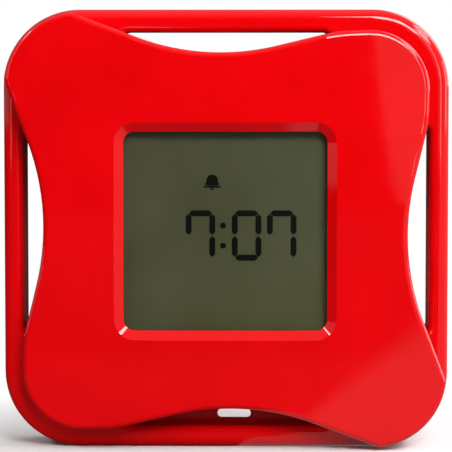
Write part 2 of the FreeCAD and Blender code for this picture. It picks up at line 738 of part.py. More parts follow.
def display_holder():
    """Frame that holds the display against the lens, with a shelf behind the glass."""
    glass_u = GLASS_WIDTH / 2 + FIT
    glass_v = GLASS_HEIGHT / 2 + FIT
    guide_u = GUIDE_WIDTH / 2 + FIT
    guide_v = GUIDE_HEIGHT / 2 + FIT
    behind_u = GLASS_WIDTH / 2 - HOLDER_WALL / 2
    end = BOARD_FRONT + OVERCUT
    outline = rectangle(glass_u + HOLDER_WALL, glass_v + HOLDER_WALL, BOARD_CORNER)
    body = prism(outline, LENS_BACK, BOARD_FRONT)
    pocket = prism(rectangle(glass_u, glass_v, 0), LENS_BACK - OVERCUT, GLASS_BACK)
    guide = prism(rectangle(guide_u, guide_v, 0), GLASS_BACK - OVERCUT, end)
    behind = prism(rectangle(behind_u, guide_v, 0), GLASS_BACK + HOLDER_SHELF, end)
    return cut_all(body, [pocket, guide, behind, strip_box(1, FIT), strip_box(-1, FIT)])


def circuit_board():
    """Board with its four screw holes."""
    board = prism(rectangle(BOARD_WIDTH / 2, BOARD_HEIGHT / 2, BOARD_CORNER), BOARD_FRONT, BOARD_BACK)
    holes = [rod(u, v, BOARD_FRONT - OVERCUT, BOARD_BACK + OVERCUT, BOARD_SCREW_RADIUS + HOLE_CLEARANCE)
             for u, v in board_boss_places()]
    return cut_all(board, holes)


def chip_blob():
    """Domed resin drop over the clock chip."""
    u, v = CHIP_PLACE
    radius = (CHIP_RADIUS * CHIP_RADIUS + CHIP_HEIGHT * CHIP_HEIGHT) / (2 * CHIP_HEIGHT)
    ball = Part.makeSphere(radius, at(u, BOARD_BACK + CHIP_HEIGHT - radius, v))
    return ball.common(rod(u, v, BOARD_BACK, BOARD_BACK + CHIP_HEIGHT + OVERCUT, CHIP_RADIUS + OVERCUT))


def timing_crystal():
    """Small crystal can lying on the board."""
    u, v = CRYSTAL_PLACE
    half = CRYSTAL_LENGTH / 2
    can = cross_rod(u - half, u + half, BOARD_BACK + CRYSTAL_RADIUS, v, CRYSTAL_RADIUS)
    foot = slab(u - half, u - half / 2, BOARD_BACK, BOARD_BACK + CRYSTAL_RADIUS,
                v - CRYSTAL_RADIUS / 2, v + CRYSTAL_RADIUS / 2)
    return can.fuse(foot)


def tilt_switches():
    """Two rolling ball switches that tell which side the clock stands on."""
    half = TILT_SIZE / 2
    u, v = TILT_PLACE
    cans = []
    for side in (-1, 1):
        corners = rectangle(half, half, BOARD_CORNER, side * u, v)
        cans.append(prism(corners, BOARD_BACK, BOARD_BACK + TILT_HEIGHT))
    return Part.makeCompound(cans)


def backlight_leds():
    """Two small lamps behind the light guide."""
    lamps = []
    for side in (-1, 1):
        u = side * LED_PLACE
        lamps.append(slab(u - LED_WIDTH / 2, u + LED_WIDTH / 2, BOARD_FRONT - LED_RISE, BOARD_FRONT,
                          -LED_HEIGHT / 2, LED_HEIGHT / 2))
    return Part.makeCompound(lamps)


def contact_strips():
    """Two rubber strips that join the display to the board."""
    return Part.makeCompound([strip_box(1, 0), strip_box(-1, 0)])


def button_switches():
    """Three push switches on the board, under the buttons."""
    switches = []
    half = TACT_SIZE / 2
    case_back = BOARD_BACK + TACT_HEIGHT
    for u in button_places():
        case = slab(u - half, u + half, BOARD_BACK, case_back, CONTROL_ROW - half, CONTROL_ROW + half)
        switches.append(case.fuse(rod(u, CONTROL_ROW, BOARD_BACK, TACT_TOP, TACT_PLUNGER_RADIUS)))
    return Part.makeCompound(switches)


def slide_switch():
    """Housing of the alarm switch on the board."""
    middle = KNOB_PLACE + KNOB_TRAVEL / 2
    half = SLIDER_BODY_WIDTH / 2
    high = SLIDER_BODY_HEIGHT / 2
    return slab(middle - half, middle + half, BOARD_BACK, BOARD_BACK + SLIDER_BODY_RISE,
                CONTROL_ROW - high, CONTROL_ROW + high)


def push_button(u):
    """Button cap with its flange under the cover and its stem to the switch."""
    cap_end = crown_depth(u, CONTROL_ROW, 0) + BUTTON_RISE
    reach = abs(u) + BUTTON_FLANGE_RADIUS
    flange_top = crown_depth(reach, CONTROL_ROW + BUTTON_FLANGE_RADIUS, COVER_WALL) - FLANGE_GAP
    cap = rod(u, CONTROL_ROW, flange_top - BUTTON_FLANGE, cap_end, BUTTON_RADIUS)
    cap = cap.makeFillet(BUTTON_RISE / 2, edges_at_depth(cap, cap_end))
    flange = rod(u, CONTROL_ROW, flange_top - BUTTON_FLANGE, flange_top, BUTTON_FLANGE_RADIUS)
    stem = rod(u, CONTROL_ROW, TACT_TOP + BUTTON_TRAVEL + STEM_END_GAP, flange_top, BUTTON_STEM_RADIUS)
    return cap.fuse([flange, stem])


def switch_knob():
    """Knob of the alarm switch with its flange and the stem that drives the switch."""
    end = crown_depth(KNOB_PLACE, CONTROL_ROW, 0) + KNOB_RISE
    reach = KNOB_PLACE + KNOB_TRAVEL + KNOB_FLANGE_WIDTH / 2
    flange_top = crown_depth(reach, CONTROL_ROW + KNOB_FLANGE_HEIGHT / 2, COVER_WALL) - FLANGE_GAP
    cap = slab(KNOB_PLACE - KNOB_WIDTH / 2, KNOB_PLACE + KNOB_WIDTH / 2, flange_top - BUTTON_FLANGE, end,
               CONTROL_ROW - KNOB_HEIGHT / 2, CONTROL_ROW + KNOB_HEIGHT / 2)
    ridges = []
    for index in (-1, 0, 1):
        u = KNOB_PLACE + index * RIDGE_SPACING
        ridges.append(slab(u - GRIP_WIDTH / 2, u + GRIP_WIDTH / 2, end - GRIP_DEPTH, end + OVERCUT,
                           CONTROL_ROW - KNOB_HEIGHT, CONTROL_ROW + KNOB_HEIGHT))
    cap = cut_all(cap, ridges)
    flange = slab(KNOB_PLACE - KNOB_FLANGE_WIDTH / 2, KNOB_PLACE + KNOB_FLANGE_WIDTH / 2,
                  flange_top - BUTTON_FLANGE, flange_top,
                  CONTROL_ROW - KNOB_FLANGE_HEIGHT / 2, CONTROL_ROW + KNOB_FLANGE_HEIGHT / 2)
    stem_end = BOARD_BACK + SLIDER_BODY_RISE + FLANGE_GAP
    stem = slab(KNOB_PLACE - KNOB_STEM / 2, KNOB_PLACE + KNOB_STEM / 2, stem_end, flange_top,
                CONTROL_ROW - KNOB_STEM / 2, CONTROL_ROW + KNOB_STEM / 2)
    return cap.fuse([flange, stem])


def buzzer_disc():
    """Brass disc with its ceramic disc, seated on the ledge in the rear cover."""
    seat = crown_depth(0, BUZZER_PLACE, COVER_WALL) - BUZZER_DROP
    brass = rod(0, BUZZER_PLACE, seat - BUZZER_THICKNESS, seat, BUZZER_RADIUS)
    face = seat - BUZZER_THICKNESS
    return brass.fuse(rod(0, BUZZER_PLACE, face - CERAMIC_THICKNESS, face, CERAMIC_RADIUS))


def battery_cell(v, pole):
    """One battery lying along the width, its nub towards the side that pole gives."""
    nub_end = pole * (BAY_LENGTH / 2 - CONTACT_THICKNESS)
    can_near = nub_end - pole * CELL_NUB_LENGTH
    can_far = nub_end - pole * CELL_LENGTH
    can = cross_rod(min(can_near, can_far), max(can_near, can_far), CELL_DEPTH, v, CELL_RADIUS)
    can = can.makeFillet(CELL_EDGE, [e for e in can.Edges if abs(e.BoundBox.XLength) < 1e-3])
    nub = cross_rod(min(nub_end, can_far), max(nub_end, can_far), CELL_DEPTH, v, CELL_NUB_RADIUS)
    return can.fuse(nub)


def contact_plate(side, v_from, v_to):
    """Flat contact at one end of the bay."""
    end = side * BAY_LENGTH / 2
    inner = end - side * CONTACT_THICKNESS
    half = CONTACT_SIZE / 2
    return slab(min(end, inner), max(end, inner), CELL_DEPTH - half, CELL_DEPTH + half, v_from, v_to)


def end_contact(v):
    """Contact with a tab that passes through the end wall of the bay."""
    half = CONTACT_SIZE / 2
    plate = contact_plate(-1, v - half, v + half)
    tab_end = -BAY_LENGTH / 2 - BAY_WALL - OVERCUT / 2
    tab_front = CELL_DEPTH - CONTACT_THICKNESS / 2
    tab = slab(tab_end, -BAY_LENGTH / 2, tab_front, tab_front + CONTACT_THICKNESS,
               v - CONTACT_TAB / 2, v + CONTACT_TAB / 2)
    return plate.fuse(tab)


def contact_bridge():
    """Long contact that joins the two batteries at the other end."""
    rows = [v for v, pole in cell_rows()]
    half = CONTACT_SIZE / 2
    return contact_plate(1, min(rows) - half, max(rows) + half)


def coil_spring(v, side):
    """Coil that presses on the flat end of one battery."""
    length = BAY_LENGTH - 2 * CONTACT_THICKNESS - CELL_LENGTH - 2 * SPRING_WIRE
    start = side * (BAY_LENGTH / 2 - CONTACT_THICKNESS - SPRING_WIRE)
    pitch = length / SPRING_TURNS
    quarter = math.pi / 2
    edges = []

    def on_coil(angle):
        advance = side * pitch * angle / (2 * math.pi)
        out = SPRING_RADIUS * math.cos(angle)
        return at(start - advance, CELL_DEPTH + out, v + SPRING_RADIUS * math.sin(angle))

    for index in range(4 * SPRING_TURNS):
        angle = index * quarter
        half_way = on_coil(angle + quarter / 2)
        edges.append(Part.Arc(on_coil(angle), half_way, on_coil(angle + quarter)).toShape())
    direction = edges[0].tangentAt(edges[0].FirstParameter)
    profile = Part.Wire(Part.makeCircle(SPRING_WIRE, on_coil(0), direction))
    return Part.Wire(edges).makePipeShell([profile], True, False)


def wire_run(points):
    """Insulated wire along straight runs joined by round bends."""
    bends = [(points[0], None, points[0])]
    for index in range(1, len(points) - 1):
        here = points[index]
        back = (points[index - 1] - here).normalize()
        ahead = (points[index + 1] - here).normalize()
        half_angle = back.getAngle(ahead) / 2
        reach = WIRE_BEND / math.tan(half_angle)
        crest = here + (back + ahead).normalize() * (WIRE_BEND / math.sin(half_angle) - WIRE_BEND)
        bends.append((here + back * reach, crest, here + ahead * reach))
    bends.append((points[-1], None, points[-1]))
    edges = []
    for index, (start, crest, stop) in enumerate(bends):
        if crest is not None:
            edges.append(Part.Arc(start, crest, stop).toShape())
        if index + 1 < len(bends):
            edges.append(Part.LineSegment(stop, bends[index + 1][0]).toShape())
    profile = Part.Wire(Part.makeCircle(WIRE_RADIUS, points[0], points[1] - points[0]))
    return Part.Wire(edges).makePipeShell([profile], True, False)


def battery_wire(v):
    """Wire from a contact's tab to the board."""
    start = -BAY_LENGTH / 2 - BAY_WALL - OVERCUT / 2
    across = start - 2 * WIRE_BEND
    return wire_run([at(start, CELL_DEPTH, v), at(across, CELL_DEPTH, v), at(across, BOARD_BACK, v)])


def buzzer_wire(side):
    """Wire from the buzzer to the board with a little slack."""
    u = side * CERAMIC_RADIUS / 2
    start = crown_depth(0, BUZZER_PLACE, COVER_WALL) - BUZZER_DROP - BUZZER_THICKNESS - CERAMIC_THICKNESS
    aside = u + side * CERAMIC_RADIUS / 2
    return wire_run([at(u, start, BUZZER_PLACE), at(u, CELL_DEPTH, BUZZER_PLACE),
                     at(aside, BUZZER_WIRE_DEPTH, BUZZER_PLACE), at(aside, BOARD_BACK, BUZZER_PLACE)])


def edges_at_depth(shape, y):
    """Edges of a shape that lie in one plane across the depth."""
    return [e for e in shape.Edges if abs(e.BoundBox.YMin - y) + abs(e.BoundBox.YMax - y) < 1e-3]


def screw(u, v, seat, head_radius, head_height, radius, length):
    """Cross head screw that points to the front."""
    top = seat + head_height
    head = rod(u, v, seat, top, head_radius)
    head = head.makeFillet(head_height * HEAD_ROUND_SHARE, edges_at_depth(head, top))
    shank = rod(u, v, seat - length, seat, radius)
    shank = shank.makeChamfer(radius / 2, edges_at_depth(shank, seat - length))
    reach = head_radius * DRIVE_REACH_SHARE
    half = DRIVE_WIDTH / 2
    floor = top - DRIVE_DEPTH
    across = slab(u - reach, u + reach, floor, top + OVERCUT, v - half, v + half)
    upright = slab(u - half, u + half, floor, top + OVERCUT, v - reach, v + reach)
    return cut_all(head.fuse(shank), [across, upright])


def case_screws():
    """Four long screws that hold the covers together."""
    return Part.makeCompound([screw(u, v, CASE_SEAT, CASE_HEAD_RADIUS, CASE_HEAD_HEIGHT,
                                    CASE_SCREW_RADIUS, CASE_SCREW_LENGTH)
                              for u, v in boss_places()])


def board_screws():
    """Four short screws that hold the board to the front cover."""
    return Part.makeCompound([screw(u, v, BOARD_BACK, BOARD_HEAD_RADIUS, BOARD_HEAD_HEIGHT,
                                    BOARD_SCREW_RADIUS, BOARD_SCREW_LENGTH)
                              for u, v in board_boss_places()])


def build():
    """Make and write every sub-part."""
    os.makedirs("parts", exist_ok=True)
    save(front_cover(), "front_cover")
    save(outer_frame(), "outer_frame")
    save(rear_cover(), "rear_cover")
    save(battery_door(), "battery_door")
    save(window_lens(), "window_lens")
    save(display_glass(), "display_glass")
    save(light_guide(), "light_guide")
    save(display_holder(), "display_holder")
    save(circuit_board(), "circuit_board")
    save(chip_blob(), "chip_blob")
    save(timing_crystal(), "timing_crystal")
    save(tilt_switches(), "tilt_switches")
    save(backlight_leds(), "backlight_leds")
    save(contact_strips(), "contact_strips")
    save(button_switches(), "button_switches")
    save(slide_switch(), "slide_switch")
    for name, u in zip(("set_button", "up_button", "down_button"), button_places()):
        save(push_button(u), name)
    save(switch_knob(), "alarm_switch_knob")
    save(buzzer_disc(), "buzzer_disc")
    for name, (v, pole) in zip(("upper", "lower"), cell_rows()):
        save(battery_cell(v, pole), "battery_" + name)
        save(coil_spring(v, -pole), "contact_spring_" + name)
        save(end_contact(v), "end_contact_" + name)
        save(battery_wire(v), "battery_wire_" + name)
    save(contact_bridge(), "contact_bridge")
    save(buzzer_wire(-1), "buzzer_wire_left")
    save(buzzer_wire(1), "buzzer_wire_right")
    save(case_screws(), "case_screws")
    save(board_screws(), "board_screws")


build()
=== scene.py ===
import math

import bmesh
import bpy
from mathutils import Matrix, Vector


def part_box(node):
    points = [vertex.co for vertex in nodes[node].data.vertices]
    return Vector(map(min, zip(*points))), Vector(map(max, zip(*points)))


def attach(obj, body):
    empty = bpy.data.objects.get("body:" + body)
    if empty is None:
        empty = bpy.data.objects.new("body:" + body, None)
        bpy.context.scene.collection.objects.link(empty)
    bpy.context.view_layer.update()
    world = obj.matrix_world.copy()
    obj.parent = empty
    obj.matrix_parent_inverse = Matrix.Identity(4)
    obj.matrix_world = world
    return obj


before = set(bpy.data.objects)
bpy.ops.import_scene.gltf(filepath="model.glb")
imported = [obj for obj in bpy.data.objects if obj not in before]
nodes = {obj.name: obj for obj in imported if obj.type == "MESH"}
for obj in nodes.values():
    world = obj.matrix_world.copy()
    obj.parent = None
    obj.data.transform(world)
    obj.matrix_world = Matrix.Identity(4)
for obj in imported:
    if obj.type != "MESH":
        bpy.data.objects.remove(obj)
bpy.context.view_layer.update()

# The clock stands on z = 0 with its front towards -Y. Lengths are in metres.
MM = 0.001
CLOCK_MIDDLE = 46.8 * MM

# Camera, placed as the photograph shows the clock
CAMERA_TARGET = (0.15 * MM, -12.0 * MM, 47.9 * MM)
CAMERA_DISTANCE = 480.0 * MM
CAMERA_PITCH = 3.5
CAMERA_YAW = 1.0
CAMERA_VIEW_WIDTH = 95.3 * MM
SENSOR_WIDTH = 36.0

# Numerals on the display
DIGIT_WIDTH = 6.25 * MM
DIGIT_HEIGHT = 10.65 * MM
SEGMENT_WIDTH = 1.25 * MM
SEGMENT_GAP = 0.16 * MM
SEGMENT_RISE = 0.12 * MM
DIGIT_MIDDLE = CLOCK_MIDDLE - 1.0 * MM
DIGIT_LEFT_EDGES = (-8.4 * MM, 1.36 * MM, 8.78 * MM)
COLON_MIDDLE = -0.5 * MM
COLON_RISES = (2.1 * MM, -2.15 * MM)
SEGMENT_POINT = 0.46 * SEGMENT_WIDTH
SEGMENT_OVERREACH = 0.1 * SEGMENT_WIDTH
DOT_WIDTH = 1.2 * MM
DOT_ROUNDING = 0.5 * MM

# Bell sign on the display
BELL_PLACE = (-2.8 * MM, CLOCK_MIDDLE + 10.7 * MM)
BELL_SIZE = 1.2 * MM
BELL_SIDES = 32
SKIRT_START = 0.05 * BELL_SIZE
SKIRT_FLARE = 1.25
SKIRT_FLATNESS = 0.15
SKIRT_DROP = 0.8 * BELL_SIZE
RIM_WIDTH = 3.0 * BELL_SIZE
RIM_HEIGHT = 0.3 * BELL_SIZE
RIM_DROP = 1.15 * BELL_SIZE
RIM_ROUNDING = 0.12 * BELL_SIZE
CLAPPER_WIDTH = 0.6 * BELL_SIZE
CLAPPER_DROP = 1.5 * BELL_SIZE
CLAPPER_ROUNDING = 0.13 * BELL_SIZE

# Display panel and battery sleeves, as far as their colours change
PANEL_HALF_WIDTH = 22.0 * MM
PANEL_BOTTOM = 25.0 * MM
PANEL_TOP = 68.0 * MM
SLEEVE_HALF_LENGTH = 26.0 * MM

# Most of a cloudy pattern lies between these values
CLOUD_LOW = 0.3
CLOUD_HIGH = 0.7

# Floor, with the distances from the clock's middle at which it changes
FLOOR_WIDTH = 8.0
FLOOR_DEPTH = 6.0
FLOOR_MIDDLE = 1.0
WALL_HEIGHT = 3.0
WALL_BEND = 1.5
WALL_BEND_STEPS = 16
JUST_BEFORE_WALL = FLOOR_MIDDLE + FLOOR_DEPTH / 2 - 0.1
JUST_ABOVE_FLOOR = 0.1
SHADOW_FADES_FROM = 0.035
SHADOW_GONE_BY = 0.10
PALE_GLOSS_FADES_FROM = 0.08
PALE_GLOSS_GONE_BY = 0.12
SIDE_WHITE_FROM = 0.42
SIDE_WHITE_BY = 0.55
SIDE_WHITE_SHARE = 0.45

# Surroundings as grey levels. The gloss mirrors them by how far back they lie,
# from -1 behind the camera to 1 behind the clock.
DARK_ROOM = 0.02
DARK_ROOM_UNTIL = -0.90
PALE_ROOM = 0.50
PALE_ROOM_FROM = -0.30
FILL_LIGHT = 0.22


# Building blocks for the finishes

def new_finish(name, roughness, specular=0.5):
    """Material with its shader and its Object coordinates."""
    material = bpy.data.materials.new(name)
    material.use_nodes = True
    tree = material.node_tree
    shader = tree.nodes["Principled BSDF"]
    shader.inputs["Roughness"].default_value = roughness
    shader.inputs["Specular IOR Level"].default_value = specular
    place = tree.nodes.new("ShaderNodeTexCoord").outputs["Object"]
    return material, tree, shader, place


def mottle(tree, place, scale, detail=3.0, stretch=None):
    """Cloudy pattern from 0 to 1, stretched along the axes if asked."""
    if stretch:
        mapping = tree.nodes.new("ShaderNodeMapping")
        mapping.inputs["Scale"].default_value = stretch
        tree.links.new(place, mapping.inputs["Vector"])
        place = mapping.outputs["Vector"]
    noise = tree.nodes.new("ShaderNodeTexNoise")
    noise.inputs["Scale"].default_value = scale
    noise.inputs["Detail"].default_value = detail
    tree.links.new(place, noise.inputs["Vector"])
    return noise.outputs["Fac"]


def tones(tree, value, stops):
    """Colours along a value, as (position, colour) stops."""
    ramp = tree.nodes.new("ShaderNodeValToRGB")
    elements = ramp.color_ramp.elements
    while len(elements) < len(stops):
        elements.new(0.5)
    for element, (position, colour) in zip(elements, stops):
        element.position = position
        element.color = (*colour, 1.0)
    tree.links.new(value, ramp.inputs["Fac"])
    return ramp.outputs["Color"]


def graded(tree, value, start, end, low=0.0, high=1.0, shape="LINEAR"):
    """A value's rise from start to end, spread over low to high."""
    spread = tree.nodes.new("ShaderNodeMapRange")
    spread.interpolation_type = shape
    spread.inputs["From Min"].default_value = start
    spread.inputs["From Max"].default_value = end
    spread.inputs["To Min"].default_value = low
    spread.inputs["To Max"].default_value = high
    tree.links.new(value, spread.inputs["Value"])
    return spread.outputs["Result"]


def between(tree, cloud, low, high):
    """A cloudy pattern spread over low to high."""
    return graded(tree, cloud, CLOUD_LOW, CLOUD_HIGH, low, high)


def coordinate(tree, place, axis):
    """One coordinate of a place."""
    split = tree.nodes.new("ShaderNodeSeparateXYZ")
    tree.links.new(place, split.inputs["Vector"])
    return split.outputs[axis]


def combined(tree, operation, first, second):
    """Two values joined by an operation."""
    step = tree.nodes.new("ShaderNodeMath")
    step.operation = operation
    tree.links.new(first, step.inputs[0])
    tree.links.new(second, step.inputs[1])
    return step.outputs["Value"]


def mixed(tree, factor, first, second):
    """Colour that goes from the first to the second. Each is a plain colour or a socket."""
    mix = tree.nodes.new("ShaderNodeMix")
    mix.data_type = "RGBA"
    tree.links.new(factor, mix.inputs["Factor"])
    for socket, colour in (("A", first), ("B", second)):
        if isinstance(colour, tuple):
            mix.inputs[socket].default_value = (*colour, 1.0)
        else:
            tree.links.new(colour, mix.inputs[socket])
    return mix.outputs["Result"]


def grey(level):
    """Grey of a given level."""
    return (level, level, level)


def relief(tree, shader, height, depth, strength):
    """Fine surface relief of a given depth."""
    bump = tree.nodes.new("ShaderNodeBump")
    bump.inputs["Distance"].default_value = depth
    bump.inputs["Strength"].default_value = strength
    tree.links.new(height, bump.inputs["Height"])
    tree.links.new(bump.outputs["Normal"], shader.inputs["Normal"])


def moulded(name, dark, light, roughness, grain_scale, grain_depth, specular=0.5):
    """Moulded plastic: cloudy colour, uneven gloss and a fine grain."""
    material, tree, shader, place = new_finish(name, roughness[0], specular)
    colour = tones(tree, mottle(tree, place, 60.0), [(0.35, dark), (0.65, light)])
    tree.links.new(colour, shader.inputs["Base Color"])
    sheen = mottle(tree, place, 220.0)
    tree.links.new(between(tree, sheen, roughness[0], roughness[1]), shader.inputs["Roughness"])
    relief(tree, shader, mottle(tree, place, grain_scale, 2.0), grain_depth, 0.4)
    return material


def glossy_red():
    """Deep red gloss that mirrors little at grazing angles, so that inner walls stay red."""
    dark, light = (0.63, 0.0004, 0.0016), (0.69, 0.0007, 0.0024)
    material = moulded("red_gloss", dark, light, (0.04, 0.07), 1500.0, 0.004 * MM)
    tree = material.node_tree
    turn = tree.nodes.new("ShaderNodeLayerWeight")
    turn.inputs["Blend"].default_value = 0.5
    stops = [(0.0, grey(0.45)), (0.60, grey(0.50)), (0.82, grey(0.20)), (0.92, grey(0.04))]
    level = tones(tree, turn.outputs["Facing"], stops)
    tree.links.new(level, tree.nodes["Principled BSDF"].inputs["Specular IOR Level"])
    return material


def metal(name, dark, light, roughness, stretch):
    """Drawn or rolled metal with fine streaks."""
    material, tree, shader, place = new_finish(name, roughness[0])
    shader.inputs["Metallic"].default_value = 1.0
    streaks = mottle(tree, place, 900.0, 4.0, stretch)
    colour = tones(tree, streaks, [(CLOUD_LOW, dark), (CLOUD_HIGH, light)])
    tree.links.new(colour, shader.inputs["Base Color"])
    tree.links.new(between(tree, streaks, roughness[0], roughness[1]), shader.inputs["Roughness"])
    relief(tree, shader, streaks, 0.02 * MM, 0.3)
    return material


def display_finish():
    """Olive display panel with painted light and shade: greener and lighter to the right, darker to the upper
    left, and faint pale clouds that are a painted reflection.
    """
    material, tree, shader, place = new_finish("display_olive", 0.35, 0.3)
    across = graded(tree, coordinate(tree, place, "X"), -PANEL_HALF_WIDTH, PANEL_HALF_WIDTH)
    up = graded(tree, coordinate(tree, place, "Z"), PANEL_BOTTOM, PANEL_TOP)
    # Painted light and shade: the olive is lighter and greener to the right and darker towards the top.
    lower = tones(tree, across, [(0.0, (0.068, 0.068, 0.026)), (1.0, (0.080, 0.084, 0.028))])
    upper = tones(tree, across, [(0.0, (0.054, 0.056, 0.022)), (1.0, (0.070, 0.080, 0.034))])
    olive_with_painted_light = mixed(tree, up, lower, upper)
    # The pale clouds mixed into the colour are a painted reflection.
    painted_reflection_clouds = between(tree, mottle(tree, place, 55.0, 2.0), 0.0, 0.4)
    tree.links.new(mixed(tree, painted_reflection_clouds, olive_with_painted_light, (0.120, 0.122, 0.080)), shader.inputs["Base Color"])
    relief(tree, shader, mottle(tree, place, 2600.0, 1.0), 0.01 * MM, 0.3)
    return material


def pane_finish():
    """Thin clear pane: lets light through and mirrors more towards grazing angles."""
    material, tree, shader, place = new_finish("clear_pane", 0.03)
    tree.links.new(between(tree, mottle(tree, place, 90.0), 0.02, 0.05), shader.inputs["Roughness"])
    shader.inputs["Base Color"].default_value = (0.6, 0.62, 0.6, 1.0)
    shader.inputs["Metallic"].default_value = 1.0
    fresnel = tree.nodes.new("ShaderNodeFresnel")
    fresnel.inputs["IOR"].default_value = 1.3
    tree.links.new(fresnel.outputs["Fac"], shader.inputs["Alpha"])
    return material


def sleeve_finish(name, pole):
    """Printed metal sleeve of a battery: dark body and a copper coloured end on the nub's side."""
    material, tree, shader, place = new_finish(name, 0.3)
    shader.inputs["Metallic"].default_value = 0.6
    nub_end = pole * SLEEVE_HALF_LENGTH
    along = graded(tree, coordinate(tree, place, "X"), -nub_end, nub_end)
    bands = [
        (0.0, (0.55, 0.55, 0.56)),
        (0.17, (0.02, 0.03, 0.06)),
        (0.70, (0.03, 0.05, 0.10)),
        (0.72, (0.60, 0.30, 0.12)),
        (0.955, (0.55, 0.27, 0.11)),
        (0.965, (0.6, 0.6, 0.6)),
    ]
    colour = tones(tree, along, bands)
    colour.node.color_ramp.interpolation = "CONSTANT"
    tree.links.new(colour, shader.inputs["Base Color"])
    streaks = mottle(tree, place, 500.0)
    tree.links.new(between(tree, streaks, 0.22, 0.4), shader.inputs["Roughness"])
    relief(tree, shader, streaks, 0.02 * MM, 0.2)
    return material


def floor_finish():
    """Pale floor, plain white further off. The gloss mirrors it pale near the clock and to the right."""
    material = bpy.data.materials.new("pale_floor")
    material.use_nodes = True
    tree = material.node_tree
    tree.nodes.clear()
    place = tree.nodes.new("ShaderNodeTexCoord").outputs["Object"]
    rays = tree.nodes.new("ShaderNodeLightPath").outputs
    shown = combined(tree, "MAXIMUM", rays["Is Camera Ray"], rays["Is Transmission Ray"])
    distance = floor_distance(tree, place)

    cloud = mottle(tree, place, 8.0)
    pale = tones(tree, cloud, [(CLOUD_LOW, grey(0.80)), (CLOUD_HIGH, grey(0.83))])
    dim = tones(tree, cloud, [(CLOUD_LOW, grey(0.36)), (CLOUD_HIGH, grey(0.40))])
    near = graded(tree, distance, PALE_GLOSS_FADES_FROM, PALE_GLOSS_GONE_BY, shape="SMOOTHSTEP")
    mirrored = tones(tree, near, [(0.0, grey(0.07)), (1.0, grey(0.033))])
    unseen = mixed(tree, rays["Is Glossy Ray"], dim, mirrored)
    matt = tree.nodes.new("ShaderNodeBsdfDiffuse")
    tree.links.new(mixed(tree, shown, unseen, pale), matt.inputs["Color"])

    far = graded(tree, distance, SHADOW_FADES_FROM, SHADOW_GONE_BY, shape="SMOOTHSTEP")
    seen_white = combined(tree, "MULTIPLY", shown, far)
    mirrored_white = combined(tree, "MULTIPLY", rays["Is Glossy Ray"], floor_side(tree, place))
    white = tree.nodes.new("ShaderNodeEmission")
    mix = tree.nodes.new("ShaderNodeMixShader")
    tree.links.new(combined(tree, "MAXIMUM", seen_white, mirrored_white), mix.inputs["Fac"])
    tree.links.new(matt.outputs["BSDF"], mix.inputs[1])
    tree.links.new(white.outputs["Emission"], mix.inputs[2])
    output = tree.nodes.new("ShaderNodeOutputMaterial")
    tree.links.new(mix.outputs["Shader"], output.inputs["Surface"])
    return material


def floor_distance(tree, place):
    """Distance from the clock's middle."""
    length = tree.nodes.new("ShaderNodeVectorMath")
    length.operation = "LENGTH"
    tree.links.new(place, length.inputs[0])
    return length.outputs["Value"]


def floor_side(tree, place):
    """White share of the floor that the gloss mirrors from the clock's right."""
    direction = tree.nodes.new("ShaderNodeVectorMath")
    direction.operation = "NORMALIZE"
    tree.links.new(place, direction.inputs[0])
    right = coordinate(tree, direction.outputs["Vector"], "X")
    return graded(tree, right, SIDE_WHITE_FROM, SIDE_WHITE_BY, high=SIDE_WHITE_SHARE, shape="SMOOTHSTEP")


# Tools for shaping pieces

def start_piece():
    """Leave edit mode and deselect everything."""
    if bpy.context.object and bpy.context.object.mode != "OBJECT":
        bpy.ops.object.mode_set(mode="OBJECT")
    bpy.ops.object.select_all(action="DESELECT")


def settle(piece):
    """Put the piece's place, turn and size into its mesh."""
    start_piece()
    piece.select_set(True)
    bpy.context.view_layer.objects.active = piece
    bpy.ops.object.transform_apply(location=True, rotation=True, scale=True)


def edit_edges(piece, chosen):
    """Enter edit mode with the chosen edges selected."""
    bpy.context.view_layer.objects.active = piece
    bpy.ops.object.mode_set(mode="EDIT")
    bpy.ops.mesh.select_mode(type="EDGE")
    bpy.ops.mesh.select_all(action="DESELECT")
    mesh = bmesh.from_edit_mesh(piece.data)
    for edge in mesh.edges:
        if chosen(edge.verts[0].co, edge.verts[1].co):
            edge.select_set(True)
    bmesh.update_edit_mesh(piece.data)


def runs_back(a, b):
    """True for an edge that runs along the depth."""
    return abs(a.y - b.y) > 0.5 * abs((a - b).length)


def bevel_corners(piece, width, steps):
    """Bevel the edges of a flat piece that run along the depth."""
    edit_edges(piece, runs_back)
    bpy.ops.mesh.bevel(offset=width, segments=steps, affect="EDGES")
    bpy.ops.object.mode_set(mode="OBJECT")


def block(name, centre, size):
    """Block about a centre, its place in its mesh."""
    start_piece()
    bpy.ops.mesh.primitive_cube_add(size=1.0, location=centre, scale=size)
    piece = bpy.context.object
    piece.name = name
    settle(piece)
    return piece


def joined(name, pieces):
    """Several meshes as one piece."""
    start_piece()
    for piece in pieces:
        piece.select_set(True)
    bpy.context.view_layer.objects.active = pieces[0]
    bpy.ops.object.join()
    whole = bpy.context.object
    whole.name = name
    whole.data.name = name
    return whole


# Numerals on the display

def ink_middle():
    """Depth of the middle of the numerals, which stand a little proud of the display's front."""
    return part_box("display_glass")[0][1] - SEGMENT_RISE / 2


def segment(x, z, length, upright):
    """One bar of a numeral with pointed ends."""
    across, along = (SEGMENT_WIDTH, length) if upright else (length, SEGMENT_WIDTH)
    bar = block("segment", (x, ink_middle(), z), (across, SEGMENT_RISE, along))
    bevel_corners(bar, SEGMENT_POINT, 1)
    return bar


